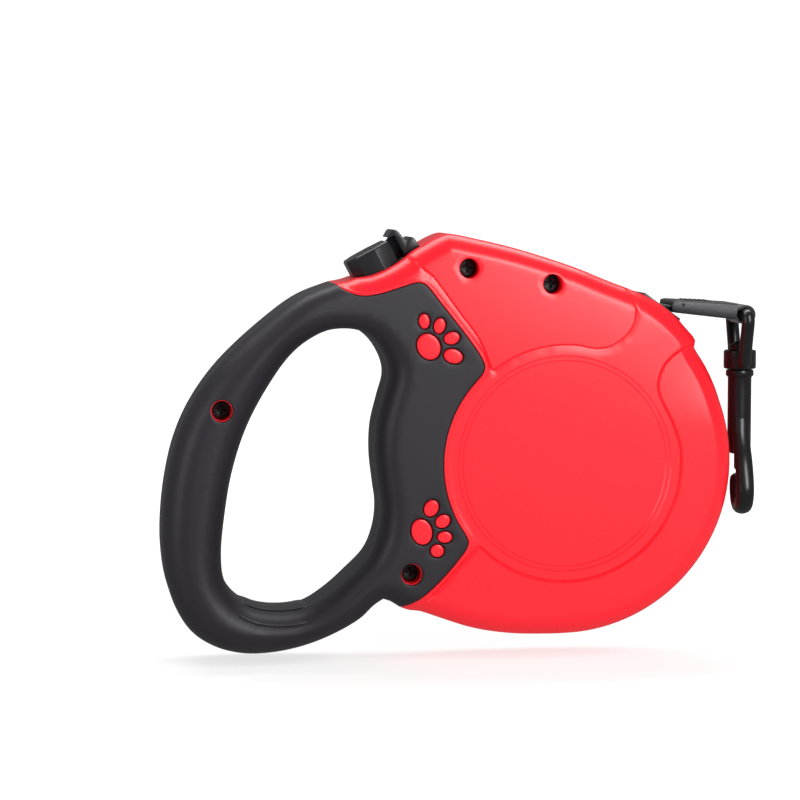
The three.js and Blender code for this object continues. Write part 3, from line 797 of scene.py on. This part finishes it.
def grip_half(with_screws):
    boundary = np.vstack([HANDLE_SIDE, GRIP_LINE[:-1]])
    silhouette = np.zeros(len(boundary), bool)
    silhouette[:len(HANDLE_SIDE) + 1] = True
    opening = OPENING[::-1]
    lines = []
    for share in ROUND_STEPS:
        lines += offset_runs(OUTLINE, HANDLE_ROUND * share * 0.86)
        lines += offset_runs(opening, HANDLE_ROUND * share)
    for away in (0.15, 0.32, 0.5):
        lines += offset_runs(GRIP_LINE, away, closed=False)
    holes = [OPENING]
    hole_rows = [(opening, seam_rows(-grip_height(opening)))]

    def add_hole(loop, floor):
        holes.append(loop)
        hole_rows.append((loop[::-1], [(0, -grip_height(loop[::-1])), (0, -floor)]))

    for paw in PAWS:
        add_hole(oval(*paw, grow=GAP), PAW_FLOOR)
        lines += [closed_line(oval(*paw, grow=GAP + away)) for away in (0.12, 0.27, 0.45)]
    if with_screws:
        for x, z in SCREWS[2:]:
            add_hole(circle(x, z, SCREW_HOLE + GAP), GRIP_FLOOR)
            lines += [closed_line(circle(x, z, SCREW_HOLE + GAP + away)) for away in (0.12, 0.3, 0.5)]
    return surface_piece(boundary, silhouette, holes, lines, grip_height, GRIP_SPACING, (), hole_rows)


def build_case():
    for piece, half, look, node, slot, smooth in (("case", case_half, RED, "shell", "red_plastic", 30),
                                                  ("grip", grip_half, RUBBER, "grip", "soft_grip", 34)):
        for side, shape in (("near", half(True)), ("far", flipped(half(False)))):
            make(f"{piece}_{side}", shape, look, "housing", [f"{side}_{node}"], smooth, weld=0.002)


# ---------------------------------------------------------------- finished copies of inner CAD pieces

def finished_copy(node, look, body, bevel):
    """A CAD node with its flat faces made whole again and its edges rounded."""
    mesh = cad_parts[node].data.copy()
    worker = bmesh.new()
    worker.from_mesh(mesh)
    bmesh.ops.remove_doubles(worker, verts=worker.verts, dist=0.002 * MM)
    bmesh.ops.dissolve_limit(worker, angle_limit=math.radians(1.5), verts=worker.verts, edges=worker.edges)
    worker.to_mesh(mesh)
    worker.free()
    obj = link(bpy.data.objects.new(node + "_finished", mesh))
    bevelled(obj, bevel, 2, 40)
    dress(obj, look, body, [node], 34)


# ---------------------------------------------------------------- brake and lock

def at_brake(point):
    """From the brake's own axes (along the shoulder, Y, out of the shoulder) to the row frame."""
    u, y, v = point
    return (BRAKE[0] + u * math.cos(BRAKE_SLOPE) - v * math.sin(BRAKE_SLOPE), y,
            BRAKE[1] + u * math.sin(BRAKE_SLOPE) + v * math.cos(BRAKE_SLOPE))


def build_button():
    plan = [(-8, -5), (-5, -8.4), (1.2, -8.8), (6.1, -6.6), (6.1, 6.6), (1.2, 8.8), (-5, 8.4), (-8, 5)]
    middle = -1.0
    layers = [(1, -5.4), (1, 4.7), (0.975, 5.25), (0.93, 5.55), (0.86, 5.6), (0.7, 5.4), (0.45, 5.15),
              (0.2, 5.02)]
    vertices = []
    for size, v in layers:
        vertices += [(middle + (u - middle) * size, y * size, v) for u, y in plan]
    rings = len(layers), len(plan)
    shape = Shape().add(vertices, grid_faces(*rings) + end_faces(*rings))
    add_shape(shape, prism([(5, -3.2), (8, -3.2), (8, -1.2), (5, -1.2)], -5, 5))
    for u in (-4.2, -1.4, 1.4):
        ridge = [(u, y, 5.13) for y in (-5.2, -2.6, 0, 2.6, 5.2)]
        add_shape(shape, sweep(ridge, ellipse(0.5, 0.34, 12), up=(0, 0, 1)))
    shape.moved(at_brake)
    button = make("thumb_button", shape, SATIN, "brake", ["brake_button"], 30)
    bevelled(button, 0.28, 3, 26)
    dress(button, SATIN, None, smooth=24)


def build_lock():
    front = spline([(13.6, 2.2), (13.2, 2.9), (12.6, 3.15), (11.9, 2.95), (11.3, 2.75), (10.8, 3.4),
                    (10.55, 4.6), (10.3, 6.0), (9.8, 7.1), (9.1, 7.6), (8.3, 7.4)], step=0.35)
    outline = [(8.6, -0.6), (13.9, -0.6), *map(tuple, front), (6.75, 6.4), (6.6, 6.15), (8.6, 5.85)]
    shape = prism(outline, -7, 7)
    add_shape(shape, prism([(10.4, -4.4), (12.8, -4.4), (12.8, 0), (10.4, 0)], -4, 4))
    add_shape(shape, prism([(8.4, -4.9), (13.6, -4.9), (13.6, -3.6), (8.4, -3.6)], -11, 11))
    add_shape(shape, prism([(5.3, -1.4), (9.0, -1.4), (9.6, 5.9), (7.8, 5.9), (5.3, 4.9)], -1.4, 1.4))
    shape.moved(at_brake)
    lock = make("lock_piece", shape, SATIN, "lock", ["lock_slider"])
    bevelled(lock, 0.42, 3, 35)
    dress(lock, SATIN, None, smooth=26)


def coil(radius, wire, low, high, turns):
    """A compression spring about Z, wound a little closer at both ends."""
    steps = int(turns * 28)
    path = []
    for i in range(steps + 1):
        t = i / steps
        climb = smoothstep(0.0, 1.0, t) * 0.35 + t * 0.65
        angle = 2 * math.pi * turns * t
        rise = low + wire + (high - low - 2 * wire) * climb
        path.append((radius * math.cos(angle), radius * math.sin(angle), rise))
    return sweep(path, ellipse(wire, wire, 8), up=(0, 0, 1))


def build_springs():
    shape = coil(4.6, 0.5, *BUTTON_SPRING, 5.5).moved(at_brake)
    spring = make("button_coil", shape, SPRING, None, (), 60)
    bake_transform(spring)
    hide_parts("button_spring")
    shape = coil(1.2, 0.28, *BOLT_SPRING, 11).moved(at_eye)
    spring = make("bolt_coil", shape, SPRING, None, (), 60)
    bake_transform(spring)
    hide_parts("bolt_spring")


# ---------------------------------------------------------------- tape

def ribbon(name, path, body, nodes=()):
    """Woven tape along (x, z) points, with the UV map that its weave needs."""
    section = rounded_rectangle(TAPE_HALF_WIDTH, TAPE_THICKNESS / 2, 0.3, 3)
    obj = make(name, strip(path, section), NYLON, body, nodes, 50)
    length = [0.0]
    for a, b in zip(path[:-1], path[1:]):
        length.append(length[-1] + math.dist(a, b))
    width = len(section)
    layer = obj.data.uv_layers.new(name="UVMap")
    for loop in obj.data.loops:
        station, corner = divmod(loop.vertex_index, width)
        layer.data[loop.index].uv = (length[station], section[corner][0])
    return obj


def strip(path, section):
    """Carries a section of (across, out) offsets along (x, z) points, keeping it square to Y."""
    path = np.array(path, float)
    along = np.gradient(path, axis=0)
    along /= np.linalg.norm(along, axis=1)[:, None]
    vertices = []
    for (x, z), (dx, dz) in zip(path, along):
        vertices += [(x - dz * out, across, z + dx * out) for across, out in section]
    rings = len(path), len(section)
    return Shape().add(vertices, turned_over(grid_faces(*rings) + end_faces(*rings)))


def on_tape(s, n):
    """From distances along and out of the tape, from the mouth, to x and z."""
    start_x, start_z = MOUTH_X, EYE_Z + LEAD_LENGTH * math.sin(TAPE_DROP)
    return (start_x + s * math.cos(TAPE_DROP) + n * math.sin(TAPE_DROP),
            start_z - s * math.sin(TAPE_DROP) + n * math.cos(TAPE_DROP))


def build_tape():
    roll_turns, roll_inner, roll_outer = 22, 26.8, 43.8
    angles = np.radians(94.5 + np.linspace(0, 360 * roll_turns, 64 * roll_turns))
    radii = np.linspace(roll_outer, roll_inner, len(angles))
    path = [(REEL[0] + r * math.cos(a), REEL[1] + r * math.sin(a)) for r, a in zip(radii, angles)]
    ribbon("wound_tape", path, "reel", ["tape_roll"])
    ribbon("tape_inside", [(106.5, 39.8), (118, 40.6), (130, 41.4), (142.2, 42.1)], "housing", ["tape_run"])
    stretch = -0.2, STOPPER_START + 0.2
    stations = (-1.4, -1.0, -0.6, *np.linspace(*stretch, 24), STOPPER_START + 1, STOPPER_START + 3)
    strip_piece = ribbon("tape_strip", [on_tape(s, 0) for s in stations], None)
    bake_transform(strip_piece)
    wrap = 1.9 + GAP + TAPE_THICKNESS / 2
    turn = [(LEAD_LENGTH + wrap * math.cos(a), wrap * math.sin(a))
            for a in np.radians(np.linspace(108, -108, 28))]
    loop = spline([(STOPPER_START + 2, 0.42), (STOPPER_END - 6, 0.42), (STOPPER_END - 1.5, 0.45),
                   (STOPPER_END + 0.2, 1.1), (STOPPER_END + 1.3, 2.0)], step=0.6)[:-1]
    back = [(s, -n) for s, n in loop[::-1]]
    ribbon("tape_loop", [on_tape(s, n) for s, n in (*loop, *turn, *back)], "tape_end", ["tape_lead"])


def channelled(side, thin, thick):
    """Half of the stopper with a channel for the tape: its section grows along the tape."""
    half = 9.0
    inner = TAPE_HALF_WIDTH + 0.4
    rail = 0.7
    vertices = []
    stations = ((STOPPER_START, thin - 0.2), (STOPPER_START + 0.15, thin),
                (STOPPER_START + 1.2, thin + 0.35), (STOPPER_END - 0.15, thick), (STOPPER_END, thick - 0.15))
    for s, top in stations:
        rounded = [(half, top - 0.5), (half - 0.06, top - 0.28), (half - 0.25, top - 0.07),
                   (half - 0.5, top)]
        section = [(-inner, 0.02), (-inner, rail), (inner, rail), (inner, 0.02), (half, 0.02), *rounded,
                   *[(-y, n) for y, n in rounded[::-1]], (-half, 0.02)]
        for y, n in section:
            x, z = on_tape(s, side * n)
            vertices.append((x, y, z))
    rings = len(stations), len(section)
    faces = grid_faces(*rings) + end_faces(*rings)
    return Shape().add(vertices, turned_over(faces) if side > 0 else faces)


def build_stopper():
    make("stopper_top", channelled(1, 1.75, 3.2), STOPPER, "tape_end", ["stopper_cover"],
         36, weld=0.001)
    ridges = Shape()
    for k in range(6):
        s = STOPPER_START + 5.6 + 1.4 * k
        n = 2.2 + 0.09 * k
        bar = sweep([(*on_tape(s, n), y) for y in (-6.2, -5.9, -3, 0, 3, 5.9, 6.2)], ellipse(0.34, 0.5, 12),
                    up=(0, 1, 0), scale=[0.55, 1, 1, 1, 1, 1, 0.55])
        add_shape(ridges, bar.moved(lambda v: (v[0], v[2], v[1])))
    make("stopper_ridges", ridges, STOPPER, "tape_end", (), weld=0.001)
    make("stopper_bottom", channelled(-1, 1.4, 1.8), STOPPER, "tape_end", ["stopper_body"],
         36, weld=0.001)
    pin = lathe([(0, -9.05), (0.42, -9.05), (0.5, -9.0), (0.5, -8.4), (0, -8.4)], 20)
    x, z = on_tape(4.9, 0.95)
    make("stopper_pin", pin.moved(shift(x, 0, z)), BLACK_SCREW, "tape_end", ())


# ---------------------------------------------------------------- swivel eye and bolt snap

def at_eye(point):
    return (point[0] + EYE_X, point[1], point[2])


def metal_piece(name, shape, body, node):
    make(name, shape, GLOSS, body, [node], 40, weld=0.001)


def at_hook(point):
    x, y, z = point
    return (EYE_X + x * math.cos(HOOK_TWIST) - y * math.sin(HOOK_TWIST),
            x * math.sin(HOOK_TWIST) + y * math.cos(HOOK_TWIST), z)


def build_eye():
    half = spline([(5.6, 22.9), (5.9, 24.2), (6.5, 26.5), (7.9, 31), (9.4, 35.2), (9.95, 37.2), (9.55, 38.6),
                   (8.3, 39.15), (6.5, EYE_Z), (0, EYE_Z)], step=0.6)
    path = [(0, -y, z) for y, z in half] + [(0, y, z) for y, z in half[::-1][1:]]
    size = np.ones(len(path))
    size[:3] = (0.5, 0.85, 1.0)
    size[-3:] = (1.0, 0.85, 0.5)
    shape = sweep(path, ellipse(2.0, 2.0, 24), scale=size)
    collar = lathe([(2.6, 28.0), (4.55, 28.0), (4.85, 27.85), (5.0, 27.5), (5.0, 22.7), (4.85, 22.35),
                    (4.5, 22.2), (2.6, 22.2)], 56, "z")
    add_shape(shape, collar)
    for side in (-1, 1):
        foot = lathe([(0, -1.9), (1.2, -1.75), (2.1, -1.1), (2.45, 0), (2.1, 1.1), (1.2, 1.75),
                      (0, 1.9)], 28)
        foot.moved(lambda v: (v[0] * 0.95, v[1] + side * 5.6, v[2] * 1.02 + 24.7))
        add_shape(shape, foot)
    metal_piece("stirrup_eye", shape.moved(at_eye), "eye", "swivel_eye")


def build_hook():
    rivet = lathe([(0, 30.8), (1.1, 30.72), (2.0, 30.4), (2.5, 29.95), (3.3, 29.9), (3.6, 29.65),
                   (3.6, 29.1), (3.4, 28.9), (3.0, 28.85), (3.0, 28.35), (2.2, 28.3), (2.2, 18.3),
                   (0, 18.3)], 48, "z")
    metal_piece("rivet_head", rivet.moved(at_hook), "hook", "swivel_rivet")

    barrel = lathe([(2.5, 21.9), (3.9, 21.9), (4.2, 21.75), (4.3, 21.4), (4.3, 20.4), (4.15, 20.0),
                    (3.85, 19.85), (3.7, 19.5), (3.65, 19.2), (3.65, 16), (3.65, 10), (3.65, 4),
                    (3.65, -1.2), (3.55, -2.4), (3.3, -3.4), (2.9, -4.0), (2.4, -4.15), (1.9, -4.1),
                    (1.9, 16.5), (0, 16.5)], 56, "z")
    bottom = arc((-5.4, -14.4), 6, 180, 360, 12)
    route = spline([(-1.2, 9.5), (-1.7, 6.5), (-2.6, 3), (-4.9, -1.5), (-8.3, -6.3), (-10.7, -11.2), *bottom,
                    (0.55, -12.2), (0.35, -10.4)], step=0.7)
    path = [(0, y, z) for y, z in route]
    size = np.ones(len(path))
    size[-4:] = (0.98, 0.93, 0.8, 0.5)
    add_shape(barrel, sweep(path, ellipse(2.0, 2.75, 24), scale=size))
    metal_piece("snap_body", barrel.moved(at_hook), "hook", "hook_body")

    bolt = lathe([(0, -9.3), (0.8, -9.25), (1.3, -9.0), (1.55, -8.5), (1.55, 3.7), (1.3, 4.0), (0, 4.0)],
                 32, "z")
    metal_piece("spring_bolt", bolt.moved(at_hook), "bolt", "snap_bolt")

    knob = lathe([(0, 1.85), (0.8, 1.85), (0.8, 3.7), (1.1, 4.0), (1.9, 4.15), (2.2, 4.4), (2.2, 5.1),
                  (1.9, 5.45), (1.1, 5.58), (0, 5.6)], 36)
    for x, z in circle(0, 0, 2.18, 12):
        rib = [(x, y, z) for y in (4.35, 4.75, 5.15)]
        add_shape(knob, sweep(rib, ellipse(0.16, 0.16, 8), up=(1, 0, 0.3)))
    knob.moved(shift(0, 0, 2)).moved(at_hook)
    metal_piece("thumb_knob", knob, "bolt", "bolt_knob")


# ---------------------------------------------------------------- small and inner pieces

def build_inlay():
    lowest = [p for p in OPENING if p[1] < -43 and 11.5 < p[0] < 33]
    line = np.array(sorted(map(tuple, lowest)))
    inward = np.array([(-d[1], d[0]) for d in np.gradient(line, axis=0)])
    inward /= np.linalg.norm(inward, axis=1)[:, None]
    rise = np.full((len(line), 1), 0.3)
    rise[:3, 0] = (-0.4, -0.1, 0.18)
    rise[-3:, 0] = (0.18, -0.1, -0.4)
    centre = line + inward * rise
    section = rounded_rectangle(7.0, 0.35, 0.3, 4)
    make("inlay_pad", strip(centre, section), RUBBER, "housing", ["handle_inlay"], 40,
         weld=0.001)
    ribs = Shape()
    edge = line[1:-2] - inward[1:-2] * 3.1
    depth = grip_height(edge)
    size = np.ones(len(edge))
    size[:2] = (0.3, 0.8)
    size[-2:] = (0.8, 0.3)
    for side in (-1, 1):
        path = [(x, side * d, z) for (x, z), d in zip(edge, depth)]
        add_shape(ribs, sweep(path, ellipse(0.6, 0.6, 12), up=(0, 1, 0), scale=size))
    make("inlay_ribs", ribs, RUBBER, "housing", (), 60, weld=0.001)


def build_power_spring():
    turns = 17
    steps = 60 * turns
    path = []
    for i in range(steps):
        t = i / (steps - 1)
        angle = 2 * math.pi * turns * t
        radius = 4.8 + 4.6 * smoothstep(0, 0.09, t) + 12.6 * t
        path.append((REEL[0] + radius * math.cos(angle), REEL[1] + radius * math.sin(angle)))
    blade = strip(path, [(-7.8, -0.16), (8.5, -0.16), (8.5, 0.16), (-7.8, 0.16)])
    make("spiral_spring", blade, SPRING, "reel", ["power_spring"], 40)


def build_inner_pieces():
    # the case screws are near black: painted shade that keeps their deep holes dark
    for number in range(1, 5):
        finished_copy(f"case_screw_{number}", BLACK_SCREW, "housing", 0.12)
    finished_copy("tape_nozzle", SATIN, "housing", 0.35)
    finished_copy("axle_pin", STEEL, "housing", 0.3)
    finished_copy("spring_arbor", INNER, "housing", 0.3)
    for node in ("reel_drum", "reel_flange", "spring_cover"):
        finished_copy(node, INNER, "reel", 0.25)
    finished_copy("tape_anchor_pin", STEEL, "reel", 0.2)
    finished_copy("brake_pawl", INNER, "brake", 0.25)


build_case()
build_button()
build_lock()
build_springs()
build_tape()
build_stopper()
build_eye()
build_hook()
build_inlay()
build_power_spring()
build_inner_pieces()


# ---------------------------------------------------------------- camera, light and stage

def build_camera():
    azimuth, elevation, distance = math.radians(-7.5), math.radians(4.5), 0.85
    aim = Vector((0.0629, 0.0076, 0.0129))
    back = Vector((math.sin(azimuth) * math.cos(elevation), -math.cos(azimuth) * math.cos(elevation),
                   math.sin(elevation)))
    data = bpy.data.cameras.new("photo_camera")
    data.sensor_width = 36.0
    data.lens = 124.3
    data.clip_start = 0.01
    data.clip_end = 200.0
    camera = link(bpy.data.objects.new("photo_camera", data))
    camera.location = aim + back * distance
    camera.rotation_euler = (-back).to_track_quat("-Z", "Y").to_euler()
    bpy.context.scene.camera = camera


def area_light(name, place, aim, size, power):
    data = bpy.data.lights.new(name, "AREA")
    data.shape = "RECTANGLE"
    data.size, data.size_y = size
    data.energy = power
    light = link(bpy.data.objects.new(name, data))
    light.location = place
    light.rotation_euler = (Vector(aim) - Vector(place)).to_track_quat("-Z", "Y").to_euler()


def glow(name, albedo, strength, far_strength=None):
    """A matt surface that gives off white light, which may change with distance from its origin."""
    result = bpy.data.materials.new(name)
    result.use_nodes = True
    tree = result.node_tree
    surface = tree.nodes["Principled BSDF"]
    set_inputs(surface, {"Base Color": (albedo, albedo, albedo, 1), "Roughness": 0.9,
                         "Specular IOR Level": 0.0, "Emission Color": (1, 1, 1, 1),
                         "Emission Strength": strength})
    if far_strength is not None:
        place = tree.nodes.new("ShaderNodeTexCoord")
        reach = tree.nodes.new("ShaderNodeVectorMath")
        reach.operation = "LENGTH"
        fade = tree.nodes.new("ShaderNodeMapRange")
        fade.interpolation_type = "SMOOTHSTEP"
        set_inputs(fade, {"From Min": 0.12, "From Max": 0.55, "To Min": strength, "To Max": far_strength})
        tree.links.new(place.outputs["Object"], reach.inputs[0])
        tree.links.new(reach.outputs["Value"], fade.inputs["Value"])
        tree.links.new(fade.outputs["Result"], surface.inputs["Emission Strength"])
    return result


def build_stage():
    scene = bpy.context.scene
    scene.view_settings.view_transform = "Standard"
    scene.view_settings.look = "None"
    world = bpy.data.worlds.new("studio")
    world.use_nodes = True
    set_inputs(world.node_tree.nodes["Background"], {"Color": (1, 1, 1, 1), "Strength": 0.20})
    scene.world = world
    area_light("top_softbox", (0.05, 0.22, 0.60), (0.09, 0, 0), (0.9, 0.25), 3.8)
    area_light("key_softbox", (0.34, -0.62, 0.34), (0.1, 0, 0.02), (0.25, 0.60), 4.6)
    area_light("left_softbox", (-0.70, -0.40, 0.20), (0.05, 0, 0), (0.2, 0.6), 1.6)
    reach = 40000
    square = Shape().add([(-reach, -reach, 0), (reach, -reach, 0), (reach, reach, 0), (-reach, reach, 0)],
                         [(0, 1, 2, 3)])
    floor = make("studio_floor", square, glow("white_sweep", 0.36, 0.72, 1.1), None)
    floor.location = (0.09, 0, FLOOR_LEVEL * MM)
    floor.visible_glossy = False
    radius = 39000.0
    rise = np.linspace(-math.pi / 2, math.pi / 2, 17)
    dome = lathe([(radius * math.cos(a), radius * math.sin(a)) for a in rise], 40, "z")
    dome.faces = turned_over(dome.faces)
    backdrop = make("studio_dome", dome, glow("white_backdrop", 0.0, 1.05), None)
    for kind in ("diffuse", "glossy", "transmission", "volume_scatter", "shadow"):
        setattr(backdrop, "visible_" + kind, False)


build_camera()
build_stage()
